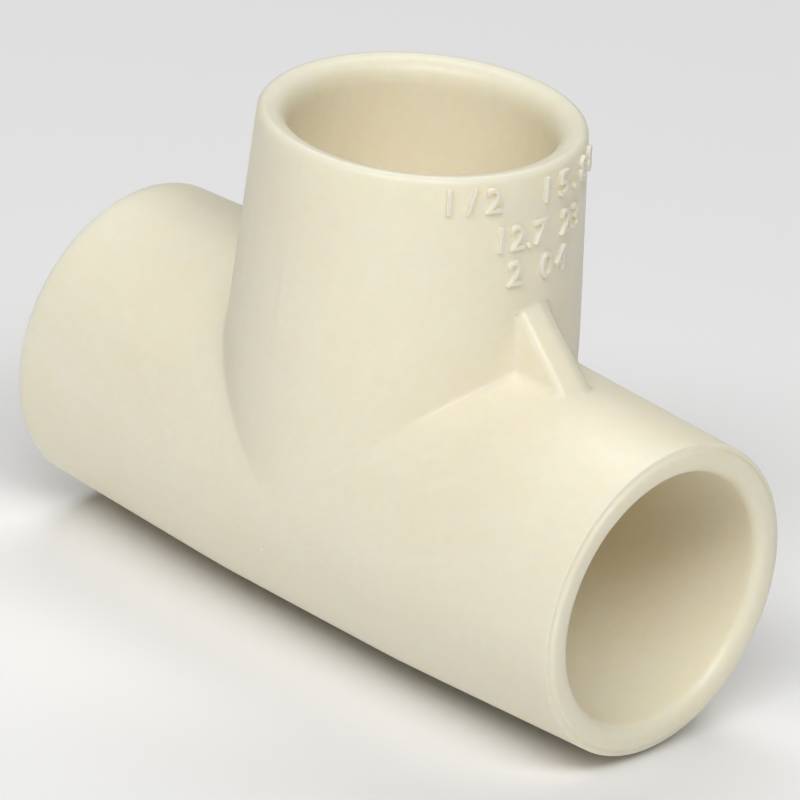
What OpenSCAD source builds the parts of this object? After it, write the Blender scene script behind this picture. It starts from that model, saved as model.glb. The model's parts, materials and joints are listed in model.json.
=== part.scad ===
// Equal socket tee for half-inch hot and cold water tube, moulded in one piece.
// The run lies along X and the branch points up along Z. The origin is straight below
// the point where the two axes cross, on the surface that the run rests on.

/* [Tube sockets] */
// Outside diameter of the tube that is cemented in
tube_d = 15.88; // [12:0.01:22.4]
// Gap between the tube and the parallel seat of its socket, on each side
seat_gap = 0.01; // [0.01:0.01:0.05]
// Gap between the tube and the mouth of its socket, on each side
entry_gap = 0.1; // [0.06:0.01:0.3]
// How deep a tube goes in, from the mouth to the tube stop
socket_depth = 12.7; // [8:0.1:20]
// Length of the parallel seat, up from the tube stop
seat_l = 6.35; // [4:0.05:7.5]
// Radius of the rounded edge that leads the tube into each end of the run
lead_in_r = 0.7; // [0.3:0.05:1.2]
// Width of the shoulder that stops the tube
stop_w = 1.25; // [0.8:0.05:1.8]

/* [Lengths] */
// From the run's tube stops to the line of the branch socket's wall
run_stop_gap = 2.35; // [1.5:0.05:8]
// From the branch's tube stop to the line of the run socket's wall
branch_stop_gap = 2.35; // [1.5:0.05:8]

/* [Walls] */
// Wall of every limb at its mouth, outside the socket
mouth_wall = 1.86; // [1.6:0.02:3]
// Wall of the run round the waterway
run_wall = 3.75; // [3:0.05:5]
// Wall of the branch round the waterway, where it is widest
branch_wall = 3.95; // [3:0.05:5]
// Length of the run's middle, which has no draft
run_parallel_l = 15; // [10:0.5:24]
// Height above the run's axis from which the branch is at its widest
branch_wide_from = 6; // [3:0.5:7]
// Height above the run's axis at which the branch's draft begins
branch_draft_from = 9; // [7.5:0.5:12]

/* [Run mouths] */
// How far each of the run's lips is set in where the core meets the cavity
step_w = 0.36; // [0.2:0.02:0.5]
// Length of the lip in front of that step
step_l = 0.2; // [0.15:0.01:0.6]
// Rounding of the lip's outer edge
lip_round_r = 0.15; // [0.05:0.01:0.15]

/* [Branch mouth] */
// Rounding of the outer edge
rim_round_r = 0.38; // [0.2:0.02:0.6]
// Width of the rim, from its outer edge to the crease where the mouth is dished
rim_w = 0.7; // [0.65:0.05:1.2]
// How deep the dish goes, down to the top of the lead-in
dish_depth = 0.15; // [0.05:0.01:0.3]
// How much wider the lead-in is at its top than at its foot, on each side
lead_in_flare = 0.26; // [0.1:0.02:0.4]
// Depth of the lead-in's foot below the rim
lead_in_depth = 1.2; // [0.8:0.05:2]

/* [Crotch] */
// Radius of the fillet where the branch meets the run
crotch_fillet_r = 0.5; // [0.3:0.05:1]
// Thickness of the web in the crotch
web_w = 2.45; // [1.6:0.05:3.2]
// Height of the web's crest above its shoulders
web_crest = 0.58; // [0.3:0.02:0.9]
// How far the web's crest climbs the branch's line above the run
web_rise = 3.9; // [3:0.05:5]
// How far the web's crest reaches along the run from the branch's line
web_reach = 3.9; // [3:0.05:5]

/* [Hidden] */
$fn = 96;

seat_r = tube_d / 2 + seat_gap;
entry_r = tube_d / 2 + entry_gap;
waterway_r = seat_r - stop_w;
mouth_r = entry_r + mouth_wall;
lip_r = mouth_r - step_w;
crease_r = mouth_r - rim_w;
run_r = waterway_r + run_wall;
branch_r = waterway_r + branch_wall;
run_reach = seat_r + run_stop_gap + socket_depth;
branch_reach = seat_r + branch_stop_gap + socket_depth;
axis_z = run_r;

// The branch's foot is drawn in by this much, to leave no ledge on the run's sides.
foot_inset = 0.05;
// The fillet is set into both walls by this much, so that it crosses them at a clear angle.
fillet_bite = 0.03;
// The fillet starts this far round the run from its side, where the crotch is too shallow to
// need it, and ends as far from the other side. It has this many ribs and facets across each.
fillet_from = 20;
fillet_ribs = 25;
arc_steps = 3;
// The fillet's hidden edge lies this many fillet radii from the ball's centre.
fillet_core = 3;
// The web runs on into the walls by this much at both ends and below.
web_bite = 1;
// Cutters run past what they cut by this much.
past = 1;

// Point at a share of the way from a to b
function between(a, b, share) = a + (b - a) * share;

// Outside radius of the run at a distance along its axis
function run_outside(x) =
    let (drafted = (abs(x) - run_parallel_l / 2) / (run_reach - step_l - run_parallel_l / 2))
    between(run_r, mouth_r, max(0, drafted));

// Outside radius of the branch at a height above the run's axis
function branch_outside(z) =
    z < branch_wide_from ? between(run_r - foot_inset, branch_r, max(0, z) / branch_wide_from)
    : z < branch_draft_from ? branch_r
    : between(branch_r, mouth_r,
        (z - branch_draft_from) / (branch_reach - rim_round_r - branch_draft_from));

// Centre of a ball that rolls in the crotch and touches both limbs, at an angle round the run
// that starts at its near side. The place along the run is found by going round the loop.
function ball_centre(angle, x = 0, rounds = 5) =
    let (
        from_run = run_outside(x) + crotch_fillet_r - fillet_bite,
        y = -from_run * cos(angle),
        z = from_run * sin(angle),
        from_branch = branch_outside(z) + crotch_fillet_r - fillet_bite,
        next_x = sqrt(max(0, from_branch * from_branch - y * y))
    )
    rounds == 0 ? [next_x, y, z] : ball_centre(angle, next_x, rounds - 1);

// One rib of the fillet: an arc from inside the run's wall to inside the branch's, and the
// hidden edge behind it
function fillet_rib(angle) =
    let (
        ball = ball_centre(angle),
        to_run = [0, -ball.y, -ball.z] / norm([ball.y, ball.z]),
        to_branch = [-ball.x, -ball.y, 0] / norm([ball.x, ball.y]),
        to_core = (to_run + to_branch) / norm(to_run + to_branch)
    )
    [
        for (i = [0 : arc_steps])
            let (toward = between(to_run, to_branch, i / arc_steps))
            ball + toward / norm(toward) * crotch_fillet_r,
        ball + to_core * fillet_core * crotch_fillet_r
    ];

// Half section of the outside of one of the run's lips, from the step to the flat end
module lip_section() {
    back = run_reach - step_l - past;
    translate([0, back]) square([lip_r, step_l + past - lip_round_r]);
    translate([0, back]) square([lip_r - lip_round_r, step_l + past]);
    translate([lip_r - lip_round_r, run_reach - lip_round_r]) circle(lip_round_r);
}

// Outside of the run, solid, along its own axis
module run_outside_solid() {
    rotate([0, 90, 0])
        rotate_extrude() {
            polygon([
                [0, step_l - run_reach],
                [mouth_r, step_l - run_reach],
                [run_r, -run_parallel_l / 2],
                [run_r, run_parallel_l / 2],
                [mouth_r, run_reach - step_l],
                [0, run_reach - step_l]
            ]);
            lip_section();
            mirror([0, 1]) lip_section();
        }
}

// Outside of the branch, solid, from the run's axis to its mouth
module branch_outside_solid() {
    rotate_extrude() {
        polygon([
            [0, 0],
            [run_r - foot_inset, 0],
            [branch_r, branch_wide_from],
            [branch_r, branch_draft_from],
            [mouth_r, branch_reach - rim_round_r],
            [mouth_r - rim_round_r, branch_reach],
            [0, branch_reach]
        ]);
        translate([mouth_r - rim_round_r, branch_reach - rim_round_r]) circle(rim_round_r);
    }
}

// Half section of a socket and its waterway, from the tee's centre out through the mouth. Beyond
// its parallel seat the socket opens out as far as the lead-in, this far below the end.
module bore_section(reach, lead_in) {
    stop = reach - socket_depth;
    square([waterway_r, stop + past]);
    translate([0, stop]) square([seat_r, seat_l]);
    polygon([
        [0, stop + seat_l],
        [seat_r, stop + seat_l],
        [entry_r, reach - lead_in],
        [entry_r, reach + past],
        [0, reach + past]
    ]);
}

// Hollow of one of the run's sockets, with its rounded lead-in
module run_hollow() {
    rotate_extrude() {
        bore_section(run_reach, lead_in_r);
        difference() {
            translate([0, run_reach - lead_in_r]) square([entry_r + lead_in_r, lead_in_r + past]);
            translate([entry_r + lead_in_r, run_reach - lead_in_r]) circle(lead_in_r);
        }
    }
}

// Hollow of the branch's socket, with its coned lead-in and dished mouth
module branch_hollow() {
    rotate_extrude() {
        bore_section(branch_reach, lead_in_depth);
        polygon([
            [0, branch_reach - lead_in_depth],
            [entry_r, branch_reach - lead_in_depth],
            [entry_r + lead_in_flare, branch_reach - dish_depth],
            [crease_r, branch_reach],
            [crease_r, branch_reach + past],
            [0, branch_reach + past]
        ]);
    }
}

// Fillet in the crotch on the +X side of the branch
module crotch_fillet() {
    angles = [for (i = [0 : fillet_ribs - 1])
        between(fillet_from, 180 - fillet_from, i / (fillet_ribs - 1))];
    ribs = [for (angle = angles) fillet_rib(angle)];
    n = len(ribs[0]);
    last = (fillet_ribs - 1) * n;
    sides = [for (i = [0 : fillet_ribs - 2], j = [0 : n - 1])
        let (a = i * n + j, b = i * n + (j + 1) % n)
        each [[a, b + n, a + n], [a, b, b + n]]];
    near_end = [for (j = [1 : n - 2]) [0, j + 1, j]];
    far_end = [for (j = [1 : n - 2]) [last, last + j, last + j + 1]];
    polyhedron([for (rib = ribs) each rib], concat(sides, near_end, far_end));
}

// Web in the crotch on the +X side, gabled like a low roof along its crest
module crotch_web() {
    crest_l = norm([web_rise, web_reach]);
    side = web_w / 2;
    root = web_rise * web_reach / crest_l + web_bite;
    translate([branch_r, 0, run_r + web_rise])
        rotate([0, 90 + atan2(web_rise, web_reach), 0])
            translate([0, 0, -web_bite])
                linear_extrude(crest_l + 2 * web_bite)
                    polygon([[0, 0], [web_crest, side], [root, side], [root, -side], [web_crest, -side]]);
}

// The whole fitting
module tee_body() {
    color([0.93, 0.9, 0.8])
        translate([0, 0, axis_z])
            difference() {
                union() {
                    run_outside_solid();
                    branch_outside_solid();
                    crotch_fillet();
                    mirror([1, 0, 0]) crotch_fillet();
                    crotch_web();
                }
                rotate([0, 90, 0]) run_hollow();
                rotate([0, -90, 0]) run_hollow();
                branch_hollow();
            }
}

tee_body();
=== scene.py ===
# %% [markdown]
# # A moulded pipe tee
# This notebook models an equal socket tee, the fitting that lets one tube branch off another.
# It is one injection moulding in ivory plastic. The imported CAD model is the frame: it says where
# the limbs' axes run, how far they reach and how wide the sockets are. The mesh is made afresh
# round those axes, with the soft corners and small marks that a real moulding has.

# %% The frame and its box
import json
import math

import bmesh
import bpy
import numpy as np
from mathutils import Matrix, Vector


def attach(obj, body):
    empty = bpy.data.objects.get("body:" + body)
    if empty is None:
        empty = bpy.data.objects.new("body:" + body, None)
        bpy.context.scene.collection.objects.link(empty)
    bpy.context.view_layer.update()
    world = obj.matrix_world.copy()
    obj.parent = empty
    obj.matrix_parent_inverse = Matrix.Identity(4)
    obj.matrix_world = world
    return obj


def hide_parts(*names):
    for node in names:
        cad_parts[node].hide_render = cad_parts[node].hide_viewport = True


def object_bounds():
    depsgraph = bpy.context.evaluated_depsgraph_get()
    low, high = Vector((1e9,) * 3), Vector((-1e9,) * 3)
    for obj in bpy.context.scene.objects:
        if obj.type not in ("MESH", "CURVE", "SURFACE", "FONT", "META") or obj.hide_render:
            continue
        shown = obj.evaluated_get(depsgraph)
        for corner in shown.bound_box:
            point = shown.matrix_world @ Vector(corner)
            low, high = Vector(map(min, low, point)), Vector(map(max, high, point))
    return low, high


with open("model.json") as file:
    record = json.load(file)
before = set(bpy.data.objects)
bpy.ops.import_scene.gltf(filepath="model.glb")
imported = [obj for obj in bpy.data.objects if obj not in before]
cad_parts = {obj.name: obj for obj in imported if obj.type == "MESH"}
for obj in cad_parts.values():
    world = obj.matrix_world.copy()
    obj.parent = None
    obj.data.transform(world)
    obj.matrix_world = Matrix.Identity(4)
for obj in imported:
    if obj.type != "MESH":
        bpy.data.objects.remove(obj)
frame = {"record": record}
cad_low, cad_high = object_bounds()
mounts = {mount["name"]: mount for mount in frame["record"]["mounts"]}
print("the CAD box is", [round(1000 * size, 2) for size in cad_high - cad_low], "mm")

# %% [markdown]
# ## The camera
# A long lens from a little over forty centimetres flattens the fitting, so the two mouths look
# almost as large as each other. The camera looks down at the crotch from the front right, and it
# is rolled a little. It could be aimed with a Track To constraint, but three angles and a
# distance say the same thing in plain numbers, and leave nothing live in the scene.

# %% Camera
MM = 0.001
crossing = Vector((0, 0, mounts["socket_right"]["pos_m"][2]))
camera_azimuth = math.radians(42.861)
camera_elevation = math.radians(24.931)
camera_roll = math.radians(5.333)
camera_distance = 419.15 * MM
aim_right = 0.54 * MM
aim_up = 3.73 * MM

level = math.cos(camera_elevation)
back = Vector((
    math.sin(camera_azimuth) * level,
    -math.cos(camera_azimuth) * level,
    math.sin(camera_elevation),
))
level_right = (-back).cross(Vector((0, 0, 1))).normalized()
level_up = level_right.cross(-back)
right = level_right * math.cos(camera_roll) + level_up * math.sin(camera_roll)
up = level_up * math.cos(camera_roll) - level_right * math.sin(camera_roll)

camera_data = bpy.data.cameras.new("camera")
camera_data.sensor_width = 36
camera_data.lens = 310.3
camera_data.clip_start = 0.01
camera_data.clip_end = 10
camera = bpy.data.objects.new("camera", camera_data)
camera.matrix_world = Matrix.Translation(
    crossing + back * camera_distance + right * aim_right + up * aim_up
) @ Matrix((right, up, back)).transposed().to_4x4()
bpy.context.scene.collection.objects.link(camera)
bpy.context.scene.camera = camera
print("the camera is at", [round(x, 4) for x in camera.matrix_world.translation])

# %% [markdown]
# ## Sizes
# The frame gives the reach of each limb, the height of the run's axis and the bore of the
# sockets. The rest are the sizes that a caliper would give: the mouth, the flared entry of the
# socket, and the waterway behind the tube stop. Everything is modelled round the point where the
# two axes cross, and lifted to its place at the end.

# %% Sizes
run_reach = cad_high.x
branch_reach = cad_high.z - crossing.z
run_r = crossing.z
branch_r = cad_high.y
seat_r = mounts["socket_right"]["dims"]["r_mm"] * MM
seat_l = mounts["socket_right"]["dims"]["length_mm"] * MM
socket_depth = 12.7 * MM
entry_r = 8.04 * MM
waterway_r = 6.7 * MM
mouth_r = 9.9 * MM
lip_l = 0.2 * MM
print("the limbs reach", round(run_reach / MM, 2), "and", round(branch_reach / MM, 2), "mm")

# %% [markdown]
# ## One limb, as a spun section
# Each limb is a tube whose section can be drawn once: up the outside from the axes' crossing,
# round the mouth, down the flared socket to the tube stop, and on along the waterway. The run's
# mouths have a thin lip that stands in from the outside, where the mould's core meets its cavity.
# The branch's rim has a crest instead, and rolls over gently into its socket. The corners are
# drawn sharp and then rounded by a vertex bevel, which works on a bare wire as it does on a mesh.
# A spin turns the wire into the tube. Rings are cut afterwards with bisect_plane, close together
# near the crossing, where the crotch will need them. A cylinder with inset ends would take fewer
# steps, but the radii of its lip and entry would each need their own bevel.

# %% Section and spin
facets = 144
crease_rings = [0.12 * MM * i for i in range(1, 11)]
open_rings = [1.5 * MM * i for i in range(1, 15)]
shear_end = 22 * MM

# Corners of a mouth, from outside to inside, as (radius, depth below the end, rounding).
run_mouth = [
    (mouth_r, lip_l, 0.06 * MM),
    (9.62 * MM, lip_l, 0.04 * MM),
    (9.44 * MM, 0, 0.1 * MM),
    (entry_r, 0, 0.7 * MM),
]
branch_mouth = [
    (mouth_r, 0.12 * MM, 0.34 * MM),
    (9.45 * MM, 0, 0.08 * MM),
    (8.5 * MM, 0.2 * MM, 0.5 * MM),
    (entry_r, 1.1 * MM, 0.4 * MM),
]


def limb_section(reach, mouth):
    """Corners of a limb's half section as (radius, distance from the crossing, rounding)."""
    stop = reach - socket_depth
    return [(run_r, 0, 0)] + [(radius, reach - depth, rounding) for radius, depth, rounding in mouth] + [
        (seat_r, stop + seat_l, 0),
        (seat_r, stop, 0.15 * MM),
        (waterway_r, stop, 0.2 * MM),
        (waterway_r, 0, 0),
    ]


def spin_limb(section):
    """A limb standing on the XY plane, open where it meets the others."""
    bm = bmesh.new()
    corners = [bm.verts.new((radius, 0, along)) for radius, along, _ in section]
    for start, end in zip(corners, corners[1:]):
        bm.edges.new((start, end))
    for corner, (_, _, rounding) in zip(corners, section):
        if rounding:
            bmesh.ops.bevel(bm, geom=[corner], affect="VERTICES", offset=rounding,
                            offset_type="OFFSET", segments=6, profile=0.5, material=-1)
    bmesh.ops.spin(bm, geom=bm.verts[:] + bm.edges[:], cent=(0, 0, 0), axis=(0, 0, 1),
                   angle=math.tau, steps=facets, use_merge=True)
    for along in crease_rings + open_rings + [shear_end]:
        bmesh.ops.bisect_plane(bm, geom=bm.verts[:] + bm.edges[:] + bm.faces[:],
                               plane_co=(0, 0, along), plane_no=(0, 0, 1), dist=1e-7)
    return bm


limbs = {
    "run": spin_limb(limb_section(run_reach, run_mouth)),
    "branch": spin_limb(limb_section(branch_reach, branch_mouth)),
}
print({name: len(limb.verts) for name, limb in limbs.items()}, "vertices in the spun limbs")

# %% [markdown]
# ## Three limbs meet
# Two equal tubes that cross at right angles meet along two half ellipses, each in a plane at
# forty-five degrees. So the end of each tube is sheared: a vertex moves along the tube by as
# much as it lies off the crossing's side. The shear is full at the crossing and fades to nothing
# near the mouth, so no ring folds over another. The run's two arms are only sheared in their
# upper half, and meet squarely below. A boolean would find the same curve, but it would leave
# slivers along it, and this mesh keeps clean quads that the fillet can use.

# %% Shear and weld
stop_at = run_reach - socket_depth


def shear_limb(bm, both_sides):
    """Lays the limb's open end into the crotch, outside and inside."""
    for vert in bm.verts:
        radius = math.hypot(vert.co.x, vert.co.y)
        inside = radius < waterway_r * 1.01
        end = stop_at if inside else shear_end
        if vert.co.z > end or (not inside and radius < mouth_r * 0.95):
            continue
        side = abs(vert.co.x) if both_sides else max(vert.co.x, 0)
        vert.co.z += side * (1 - vert.co.z / end)


shear_limb(limbs["run"], both_sides=False)
shear_limb(limbs["branch"], both_sides=True)

to_right = Matrix(((0, 0, 1), (0, -1, 0), (1, 0, 0))).to_4x4()
half_turn = Matrix.Rotation(math.pi, 4, "Z")
body = bmesh.new()
for limb, turn in (("run", to_right), ("run", half_turn @ to_right), ("branch", Matrix())):
    part = bpy.data.meshes.new(limb)
    limbs[limb].to_mesh(part)
    part.transform(turn)
    body.from_mesh(part)
bmesh.ops.remove_doubles(body, verts=body.verts, dist=0.001 * MM)
bmesh.ops.recalc_face_normals(body, faces=body.faces)
gaps = [edge for edge in body.edges if not edge.is_manifold]
print(len(body.faces), "faces,", len(gaps), "open edges,", round(body.calc_volume() / MM**3, 1), "mm3")

# %% [markdown]
# ## The skin, as a distance
# A mould maker gives the outside of a fitting a draft, so that it leaves the mould, and a fillet
# where the branch meets the run. Both are easy to say as a distance from the skin: the run and
# the branch are each a radius that changes along an axis, and a fillet is where a small ball
# rolls in the corner between them. Vertices are then settled onto the skin, by stepping each
# along the steepest slope of its distance until it is nothing. It gives the corner one true
# radius, which a bevel on a crease whose angle changes all the way round would not.

# %% Distances from the run, the branch and a filleted corner
draft_end = run_reach - lip_l
branch_draft_end = branch_reach - lip_l
run_draft_from = 7.5 * MM
foot_r = 10.4 * MM
branch_wide_from = 6 * MM
branch_draft_from = 9 * MM
draft_blend = 1.4 * MM
crotch_fillet_r = 0.5 * MM
far_away = 1000 * MM


def ramp(along, start):
    """Nothing before start, the length past it after, and a smooth curve across it."""
    past = along - start
    curve = (past + draft_blend) ** 2 / (4 * draft_blend)
    return np.where(past < -draft_blend, 0, np.where(past > draft_blend, past, curve))


def run_outside(x):
    slope = (run_r - mouth_r) / (draft_end - run_draft_from)
    return run_r - slope * ramp(np.abs(x), run_draft_from)


def branch_outside(z):
    widen = (branch_r - foot_r) / branch_wide_from
    slope = (branch_r - mouth_r) / (branch_draft_end - branch_draft_from)
    return foot_r + widen * (z - ramp(z, branch_wide_from)) - slope * ramp(z, branch_draft_from)


def run_distance(p):
    return np.hypot(p[:, 1], p[:, 2]) - run_outside(p[:, 0])


def branch_distance(p):
    outside = np.hypot(p[:, 0], p[:, 1]) - branch_outside(p[:, 2])
    return np.where(p[:, 2] > 0, outside, far_away)


def slope_of(distance, p):
    """How fast a distance grows along X, Y and Z at each point."""
    reach = 0.001 * MM
    steps = np.eye(3) * reach
    rise = [distance(p + step) - distance(p - step) for step in steps]
    return np.stack(rise, 1) / (2 * reach)


def filleted(first, second, radius):
    """The distance from two shapes joined by the fillet that a ball of this radius leaves."""
    def distance(p):
        a, b = first(p) - radius, second(p) - radius
        near = (np.abs(a) < 3 * radius) & (np.abs(b) < 3 * radius)
        joined = np.minimum(a, b) + radius
        if near.any():
            a, b, q = a[near], b[near], p[near]
            cosine = (slope_of(first, q) * slope_of(second, q)).sum(1)
            sine2 = np.maximum(1 - cosine**2, 1e-9)
            corner = (b * cosine > a) & (a * cosine > b) & (sine2 > 1e-4)
            from_ball = np.sqrt(np.maximum(a**2 + b**2 - 2 * a * b * cosine, 0) / sine2)
            joined[near] = np.where(corner, radius - from_ball, joined[near])
        return joined
    return distance


def negative(distance):
    return lambda p: -distance(p)


def rounded(first, second, radius):
    """The distance from what two shapes share, with the corner between them rounded off."""
    return negative(filleted(negative(first), negative(second), radius))


def settle(verts, distance, along=None, rounds=8):
    """Moves the vertices onto the surface where the distance is nothing, freely or one way."""
    p = np.array([vert.co for vert in verts])
    for _ in range(rounds):
        slope = slope_of(distance, p)
        way = slope if along is None else np.broadcast_to(np.array(along), p.shape)
        p -= way * (distance(p) / (slope * way).sum(1))[:, None]
    for vert, place in zip(verts, p):
        vert.co = place
    return np.abs(distance(p)).max()


skin = filleted(run_distance, branch_distance, crotch_fillet_r)
places = np.array([vert.co for vert in body.verts])
drafted = np.maximum(np.abs(places[:, 0]), places[:, 2]) < shear_end + 0.01 * MM
outer = drafted & (np.abs(skin(places)) < 0.5 * MM)
left = settle([vert for vert, chosen in zip(body.verts, outer) if chosen], skin)
print(outer.sum(), "vertices lie on the skin, within", round(left / MM, 6), "mm")
print("the moulding without its web holds", round(body.calc_volume() / MM**3, 1), "mm3")

# %% [markdown]
# ## The web in the crotch
# A small web stiffens one crotch. Its edge is gabled like a low roof, with the crest a little off
# the middle, and its foot flares into both limbs. It starts as an arc, spun from one vertex and
# closed below by a hidden keel, that is extruded along the ridge in short steps. The part under
# the skin is splayed out to where the fillet ends. Then two settles shape it: what shows moves
# onto the roof, the sides and the fillet at their foot, and the rest is drawn down to a fixed
# depth, so that nothing shows in the sockets. A bevel along the join would have to cross the
# crotch's own fillet, where three surfaces meet, and bevels fail there.

# %% Web
web_half_w = 1.22 * MM
web_crest = 0.27 * MM
crest_shift = 0.25 * MM
crest_softness = 0.2 * MM
shoulder_r = 0.4 * MM
web_fillet_r = 0.5 * MM
web_reach = 3.9 * MM
ridge_top = Vector((branch_r, 0, run_r + web_reach))
ridge_foot = Vector((branch_r + web_reach, 0, run_r))
ridge_past = 1.8 * MM
web_depth = 4.4 * MM
web_step = 0.12 * MM
splay_depth = 0.7 * MM
keel_under_skin = 0.9 * MM
least_rise = 0.003 * MM

ridge = (ridge_foot - ridge_top).normalized()
outward = Vector((-ridge.z, 0, ridge.x))
wide_fall = web_crest / (web_half_w + crest_shift)
narrow_fall = web_crest / (web_half_w - crest_shift)
mean_fall = (narrow_fall + wide_fall) / 2


def roof_distance(p):
    """Distance from the two slopes of the web's edge, which meet in a soft crest off its middle."""
    above = (p - np.array(ridge_top)) @ np.array(outward)
    off_crest = p[:, 1] - crest_shift
    fall = mean_fall * np.hypot(off_crest, crest_softness) + (narrow_fall - mean_fall) * off_crest
    return (above + fall) / math.hypot(1, mean_fall)


def side_distance(p):
    return np.abs(p[:, 1]) - web_half_w


def extrude_wire(bm, edges, step, count):
    """Sweeps a wire along a straight line, in equal steps."""
    for _ in range(count):
        made = bmesh.ops.extrude_edge_only(bm, edges=edges)["geom"]
        edges = [item for item in made if isinstance(item, bmesh.types.BMEdge)]
        moved = [item for item in made if isinstance(item, bmesh.types.BMVert)]
        bmesh.ops.translate(bm, verts=moved, vec=step)


start = ridge_top - outward * web_half_w - ridge * ridge_past
web = bmesh.new()
side = web.verts.new(start + Vector((0, -web_half_w, 0)))
bmesh.ops.spin(web, geom=[side], cent=start, axis=-ridge, angle=math.pi, steps=32, use_merge=False)
ends = [vert for vert in web.verts if len(vert.link_edges) == 1]
down_steps = round(web_depth / web_step)
for end in ends:
    for _ in range(down_steps):
        lower = bmesh.ops.extrude_vert_indiv(web, verts=[end])["verts"]
        bmesh.ops.translate(web, verts=lower, vec=-outward * web_depth / down_steps)
        end = lower[0]
web.edges.new([vert for vert in web.verts if len(vert.link_edges) == 1])
length = (ridge_foot - ridge_top).length + 2 * ridge_past
along_steps = round(length / web_step)
extrude_wire(web, web.edges[:], ridge * length / along_steps, along_steps)
rims = [edge for edge in web.edges if edge.is_boundary]
bmesh.ops.holes_fill(web, edges=rims, sides=0)
bmesh.ops.recalc_face_normals(web, faces=web.faces)

depth = -skin(np.array([vert.co for vert in web.verts]))
for vert, under in zip(web.verts, depth):
    splay = web_fillet_r * min(max(under / splay_depth, 0), 1)
    vert.co.y += math.copysign(splay, vert.co.y) if abs(vert.co.y) > web_half_w * 0.9 else 0
web_distance = rounded(roof_distance, side_distance, shoulder_r)
near = [vert for vert, under in zip(web.verts, depth) if under < splay_depth]
left = settle(near, filleted(web_distance, skin, web_fillet_r))
rise = skin(np.array([vert.co for vert in web.verts]))
sunk = [vert for vert, above in zip(web.verts, rise) if above < least_rise]
settle(sunk, lambda p: skin(p) + keel_under_skin, along=outward)
print("the web shows", len(web.verts) - len(sunk), "vertices, within", round(left / MM, 6), "mm")

# %% [markdown]
# ## A witness line on the branch
# The outside of the branch is moulded by two slides that meet in front and behind, and one stands
# a hair proud of the other. The step is two hundredths of a millimetre, far too fine to model by
# hand, yet it is what the eye catches as a line down the branch. Two leaning cuts with
# bisect_plane give it its edges, and the side to its left then sinks, less and less with distance.

# %% Witness line
line_top = Vector((-0.1 * MM, 0, branch_reach))
line_foot = Vector((-0.85 * MM, 0, run_r))
line_step = 0.02 * MM
line_width = 0.07 * MM
line_fade = 3 * MM

lean = (line_top - line_foot).normalized()
across = Vector((lean.z, 0, -lean.x))


def on_branch(vert):
    """Whether a vertex is on the outside of the branch, clear of its lip."""
    outside = math.hypot(vert.co.x, vert.co.y) > mouth_r * 0.98
    return outside and abs(vert.co.y) > mouth_r / 2 and vert.co.z > run_r * 0.9


for offset in (-line_width / 2, line_width / 2):
    faces = [face for face in body.faces if all(on_branch(vert) for vert in face.verts)]
    edges = {edge for face in faces for edge in face.edges}
    verts = {vert for face in faces for vert in face.verts}
    bmesh.ops.bisect_plane(body, geom=list(verts) + list(edges) + faces, dist=1e-8,
                           plane_co=line_foot + across * offset, plane_no=across)

sunk = 0
for vert in body.verts:
    left_of = -(vert.co - line_foot).dot(across) - line_width / 2 + 1e-7
    if on_branch(vert) and 0 < left_of < line_fade:
        out = Vector((vert.co.x, vert.co.y, 0)).normalized()
        vert.co -= out * line_step * (1 - left_of / line_fade) ** 2
        sunk += 1
print(sunk, "vertices sink beside the witness line")

# %% [markdown]
# ## Numbers moulded on the branch
# Fittings carry their sizes in raised characters, cut into the mould with a small round tool, so
# their strokes are narrow ridges with softened edges. A text object with a round bevel gives such
# strokes. It is made a mesh first, and then each vertex is wrapped: its distance along the line
# of text becomes an angle round the branch. A Curve modifier could bend it too, but it would not
# follow the branch's draft. The numbers are plain sizes, in inches and millimetres, and the
# mould's cavity.

# %% Numbers
rows = (
    ("1/2  15.88", 21.55 * MM, 0.0, 1.47),
    ("12.7  23", 19.0 * MM, 2.0, 1.05),
    ("2 04", 16.75 * MM, 1.0, 1.35),
)
font_size = 2.2 * MM
stroke_bevel = 0.05 * MM
stroke_trim = 0.02 * MM
number_height = 0.26 * MM
number_sink = 0.06 * MM


def text_mesh(words, spacing):
    """A line of raised characters, flat on the XY plane and centred."""
    curve = bpy.data.curves.new("numbers", "FONT")
    curve.body = words
    curve.size = font_size
    curve.space_character = spacing
    curve.align_x = "CENTER"
    curve.align_y = "CENTER"
    curve.resolution_u = 4
    curve.offset = -stroke_trim
    curve.extrude = (number_height + number_sink) / 2 - stroke_bevel
    curve.bevel_depth = stroke_bevel
    curve.bevel_resolution = 3
    holder = bpy.data.objects.new("numbers", curve)
    bpy.context.scene.collection.objects.link(holder)
    bpy.context.view_layer.update()
    mesh = bpy.data.meshes.new_from_object(holder)
    bpy.data.objects.remove(holder)
    return mesh


def wrap_on_branch(mesh, height, turn):
    """Bends a flat mesh round the branch, with its middle turned from +X by some degrees."""
    for vert in mesh.vertices:
        z = height + vert.co.y
        radius = float(branch_outside(z))
        angle = math.radians(turn) + vert.co.x / radius
        out = radius + vert.co.z + (number_height - number_sink) / 2
        vert.co = (out * math.cos(angle), out * math.sin(angle), z)


numbers = bmesh.new()
for words, height, turn, spacing in rows:
    line = text_mesh(words, spacing)
    wrap_on_branch(line, height, turn)
    numbers.from_mesh(line)
bmesh.ops.remove_doubles(numbers, verts=numbers.verts, dist=0.001 * MM)
bmesh.ops.recalc_face_normals(numbers, faces=numbers.faces)
gaps = [edge for edge in numbers.edges if not edge.is_manifold]
reach = max(math.hypot(vert.co.x, vert.co.y) for vert in numbers.verts)
print(len(numbers.faces), "faces,", len(gaps), "open edges, out to", round(reach / MM, 2), "mm")

# %% [markdown]
# ## The gate's mark
# The plastic enters the mould through a pin gate under the branch, and leaves a nib there when
# the moulding is pulled off. It is a short cone with a rounded tip, made from a circle that is
# extruded and drawn in.

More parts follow.
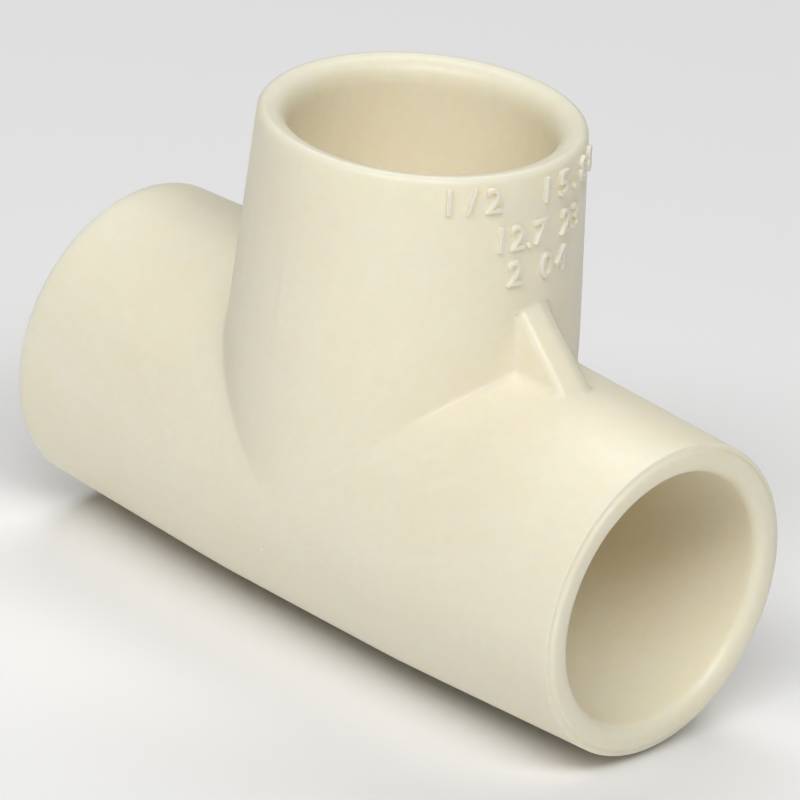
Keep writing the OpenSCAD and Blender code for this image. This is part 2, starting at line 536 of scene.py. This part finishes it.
# %% Gate nib
nib_r = 0.2 * MM
nib_tip_r = 0.1 * MM
nib_height = 0.09 * MM
nib_sink = 0.1 * MM
nib_bevel = 0.04 * MM
nib_facets = 20
nib_x = -0.8 * MM
nib_turn = math.radians(19.5)

nib = bmesh.new()
bmesh.ops.create_circle(nib, cap_ends=True, radius=nib_r, segments=nib_facets)
extruded = bmesh.ops.extrude_face_region(nib, geom=nib.faces[:])["geom"]
tip = [item for item in extruded if isinstance(item, bmesh.types.BMVert)]
bmesh.ops.translate(nib, verts=tip, vec=(0, 0, nib_height + nib_sink))
bmesh.ops.scale(nib, verts=tip, vec=(nib_tip_r / nib_r, nib_tip_r / nib_r, 1))
rim = [edge for edge in nib.edges if all(vert in tip for vert in edge.verts)]
bmesh.ops.bevel(nib, geom=rim, affect="EDGES", offset=nib_bevel, segments=3, profile=0.5,
                material=-1)
bmesh.ops.recalc_face_normals(nib, faces=nib.faces)
nib_way = Vector((0, -math.cos(nib_turn), -math.sin(nib_turn)))
place = Matrix.Translation(Vector((nib_x, 0, 0)) + nib_way * (float(run_outside(nib_x)) - nib_sink))
facing_out = nib_way.to_track_quat("Z", "X").to_matrix().to_4x4()
bmesh.ops.transform(nib, verts=nib.verts, matrix=place @ facing_out)
print("the nib has", len(nib.faces), "faces")

# %% [markdown]
# ## One moulding
# The web, the numbers and the nib are sunk a little into the body, and a Boolean modifier joins
# them to it, so that what is left is one closed skin with nothing hidden inside. The manifold
# solver needs closed shapes, which these are, and is quick. The slivers that it leaves along the
# joins are dissolved afterwards.

# %% Join
def as_object(name, bm):
    """A mesh object from a bmesh, in the scene."""
    mesh = bpy.data.meshes.new(name)
    bm.to_mesh(mesh)
    made = bpy.data.objects.new(name, mesh)
    bpy.context.scene.collection.objects.link(made)
    return made


tee = as_object("tee_moulding", body)
for name, bm in (("web", web), ("numbers", numbers), ("nib", nib)):
    addition = as_object(name, bm)
    union = tee.modifiers.new(name, "BOOLEAN")
    union.operation = "UNION"
    union.solver = "MANIFOLD"
    union.object = addition
    joined = bpy.data.meshes.new_from_object(tee.evaluated_get(bpy.context.evaluated_depsgraph_get()))
    tee.modifiers.clear()
    tee.data = joined
    bpy.data.objects.remove(addition)

merged = bmesh.new()
merged.from_mesh(tee.data)
bmesh.ops.dissolve_degenerate(merged, dist=0.0005 * MM, edges=merged.edges)
gaps = [edge for edge in merged.edges if not edge.is_manifold]
volume = merged.calc_volume() / MM**3
print(len(merged.faces), "faces,", len(gaps), "open edges,", round(volume, 1), "mm3")
bmesh.ops.translate(merged, verts=merged.verts, vec=crossing)
sharp_angle = math.radians(35)
for edge in merged.edges:
    edge.smooth = edge.calc_face_angle(0) < sharp_angle
for face in merged.faces:
    face.smooth = True
merged.to_mesh(tee.data)
weighted = tee.modifiers.new("weighted normals", "WEIGHTED_NORMAL")
weighted.keep_sharp = True
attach(tee, "root")
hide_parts("tee_body")

# %% [markdown]
# ## Ivory plastic
# Moulded plastic of this kind is satin, and light enters it a little before it leaves again,
# which warms its thin edges and fills its bores. Nothing in it is quite even. The pigment drifts
# over a centimetre or so and is mottled below a millimetre. The melt leaves pale streaks that fan
# out from the gate. The skin has a slight orange peel and a fine grain from the mould. Each of
# these is a noise in the object's own coordinates, in metres, so a scale is one over its size.

# %% Node helpers
def link(tree, source, target):
    tree.links.new(source, target)


def noise(tree, vector, size, detail=2.0, roughness=0.5):
    """A noise whose blotches are about this large."""
    node = tree.nodes.new("ShaderNodeTexNoise")
    node.inputs["Scale"].default_value = 1 / size
    node.inputs["Detail"].default_value = detail
    node.inputs["Roughness"].default_value = roughness
    link(tree, vector, node.inputs["Vector"])
    return node.outputs["Fac"]


def spread(tree, value, low, high, to_low, to_high):
    """Stretches a value from one range onto another, and stops at the ends."""
    node = tree.nodes.new("ShaderNodeMapRange")
    ends = {"From Min": low, "From Max": high, "To Min": to_low, "To Max": to_high}
    for socket, number in ends.items():
        node.inputs[socket].default_value = number
    link(tree, value, node.inputs["Value"])
    return node.outputs["Result"]


def blend(tree, kind, factor, first, second):
    """Mixes two colours, by a number or by another node's output."""
    node = tree.nodes.new("ShaderNodeMix")
    node.data_type = "RGBA"
    node.blend_type = kind
    for socket, source in ((node.inputs[0], factor), (node.inputs[6], first), (node.inputs[7], second)):
        if isinstance(source, bpy.types.NodeSocket):
            link(tree, source, socket)
        else:
            socket.default_value = source
    return node.outputs[2]


def raised(tree, height, distance, strength, under=None):
    """A bump of this height, laid over another if there is one."""
    node = tree.nodes.new("ShaderNodeBump")
    node.inputs["Distance"].default_value = distance
    node.inputs["Strength"].default_value = strength
    link(tree, height, node.inputs["Height"])
    if under is not None:
        link(tree, under, node.inputs["Normal"])
    return node.outputs["Normal"]


print("node helpers: noise, spread, blend, raised")

# %% The plastic's skin, as a node group
gate = Vector((nib_x, 0, crossing.z)) + nib_way * run_r

drift_size = 11 * MM
mottle_size = 0.6 * MM
streak_size = 0.05
gloss_size = 2.5 * MM
peel_size, peel_height, peel_strength = 1.3 * MM, 0.02 * MM, 0.35
grain_size, grain_height, grain_strength = 0.16 * MM, 0.004 * MM, 0.5

skin_group = bpy.data.node_groups.new("moulded_skin", "ShaderNodeTree")
for socket, kind in (("Color", "NodeSocketColor"), ("Roughness", "NodeSocketFloat"),
                     ("Normal", "NodeSocketVector")):
    skin_group.interface.new_socket(socket, in_out="OUTPUT", socket_type=kind)
where = skin_group.nodes.new("ShaderNodeTexCoord").outputs["Object"]

drift = spread(skin_group, noise(skin_group, where, drift_size), 0.3, 0.7, 0, 1)
mottle = spread(skin_group, noise(skin_group, where, mottle_size, detail=3), 0.35, 0.65, 0, 1)

from_gate = skin_group.nodes.new("ShaderNodeVectorMath")
from_gate.operation = "SUBTRACT"
from_gate.inputs[1].default_value = gate
link(skin_group, where, from_gate.inputs[0])
heading = skin_group.nodes.new("ShaderNodeVectorMath")
heading.operation = "NORMALIZE"
link(skin_group, from_gate.outputs[0], heading.inputs[0])
fanned = noise(skin_group, heading.outputs[0], streak_size, detail=3)
streak = spread(skin_group, fanned, 0.45, 0.8, 0, 1)

ivory_deep = (0.93, 0.856, 0.672, 1)
ivory_pale = (0.952, 0.888, 0.722, 1)
ivory_streak = (0.96, 0.911, 0.77, 1)
mottle_dark = (0.986, 0.983, 0.974, 1)
tone = blend(skin_group, "MIX", drift, ivory_deep, ivory_pale)
tone = blend(skin_group, "MIX", spread(skin_group, streak, 0, 1, 0, 0.45), tone, ivory_streak)
tone = blend(skin_group, "MULTIPLY", mottle, tone, mottle_dark)

gloss = spread(skin_group, noise(skin_group, where, gloss_size, detail=4), 0.3, 0.7, 0.36, 0.47)
peel = raised(skin_group, noise(skin_group, where, peel_size), peel_height, peel_strength)
fine = noise(skin_group, where, grain_size, detail=3)
grain = raised(skin_group, fine, grain_height, grain_strength, under=peel)

group_out = skin_group.nodes.new("NodeGroupOutput")
for socket, source in (("Color", tone), ("Roughness", gloss), ("Normal", grain)):
    link(skin_group, source, group_out.inputs[socket])
print("the skin's group has", len(skin_group.nodes), "nodes; the gate is at",
      [round(x / MM, 2) for x in gate], "mm")

# %% Material
ivory = bpy.data.materials.new("moulded_ivory")
ivory.use_nodes = True
tree = ivory.node_tree
plastic = tree.nodes["Principled BSDF"]
plastic.inputs["Subsurface Weight"].default_value = 0.6
plastic.inputs["Subsurface Radius"].default_value = (1.0, 0.8, 0.45)
plastic.inputs["Subsurface Scale"].default_value = 1.6 * MM
moulded = tree.nodes.new("ShaderNodeGroup")
moulded.node_tree = skin_group
link(tree, moulded.outputs["Color"], plastic.inputs["Base Color"])
link(tree, moulded.outputs["Roughness"], plastic.inputs["Roughness"])
link(tree, moulded.outputs["Normal"], plastic.inputs["Normal"])
tee.data.materials.clear()
tee.data.materials.append(ivory)
print("the tee is", ivory.name)

# %% [markdown]
# ## The floor
# The floor is a large pale sheet of matt paper, with nothing on it.

# %% Floor
floor_half = 3.0
floor_bm = bmesh.new()
bmesh.ops.create_grid(floor_bm, x_segments=1, y_segments=1, size=floor_half)
floor = as_object("floor", floor_bm)
paper = bpy.data.materials.new("pale_paper")
paper.use_nodes = True
paper.node_tree.nodes["Principled BSDF"].inputs["Base Color"].default_value = (0.92, 0.92, 0.92, 1)
paper.node_tree.nodes["Principled BSDF"].inputs["Roughness"].default_value = 0.9
floor.data.materials.append(paper)
print("the floor is", 2 * floor_half, "m wide")

# %% [markdown]
# ## Lights
# A wide softbox hangs in front of the fitting and above it, so that the tops are the brightest
# and the front faces a little less so. A weak one stands low at the left. Another hangs high
# behind, and draws the far rims. The world is black, so no light comes from anywhere else, and the
# right side and the underside are left to what the floor gives back.

# %% Lights
world = bpy.data.worlds.new("studio")
world.use_nodes = True
bpy.context.scene.world = world
world.node_tree.nodes["Background"].inputs["Color"].default_value = (1, 1, 1, 1)
world.node_tree.nodes["Background"].inputs["Strength"].default_value = 0.0
bpy.context.scene.view_settings.view_transform = "Standard"

light_distance = 900 * MM
flat_back = Vector((back.x, back.y, 0)).normalized()


def softbox(name, toward, width, height, power):
    """A light that faces the fitting, placed by right, up and back from the camera's side."""
    light = bpy.data.lights.new(name, "AREA")
    light.shape = "RECTANGLE"
    light.size = width
    light.size_y = height
    light.energy = power
    lamp = bpy.data.objects.new(name, light)
    way = (level_right * toward[0] + Vector((0, 0, toward[1])) + flat_back * toward[2]).normalized()
    facing = way.to_track_quat("Z", "Y").to_matrix().to_4x4()
    lamp.matrix_world = Matrix.Translation(crossing + way * light_distance) @ facing
    bpy.context.scene.collection.objects.link(lamp)


softbox("front_top", toward=(-0.05, 1, 0.75), width=1.1, height=0.3, power=7.6)
softbox("left", toward=(-1, 0.4, 0.3), width=0.3, height=0.3, power=0.25)
softbox("behind", toward=(0, 1, -0.6), width=0.6, height=0.3, power=2.6)
print(len(bpy.data.lights), "lights")
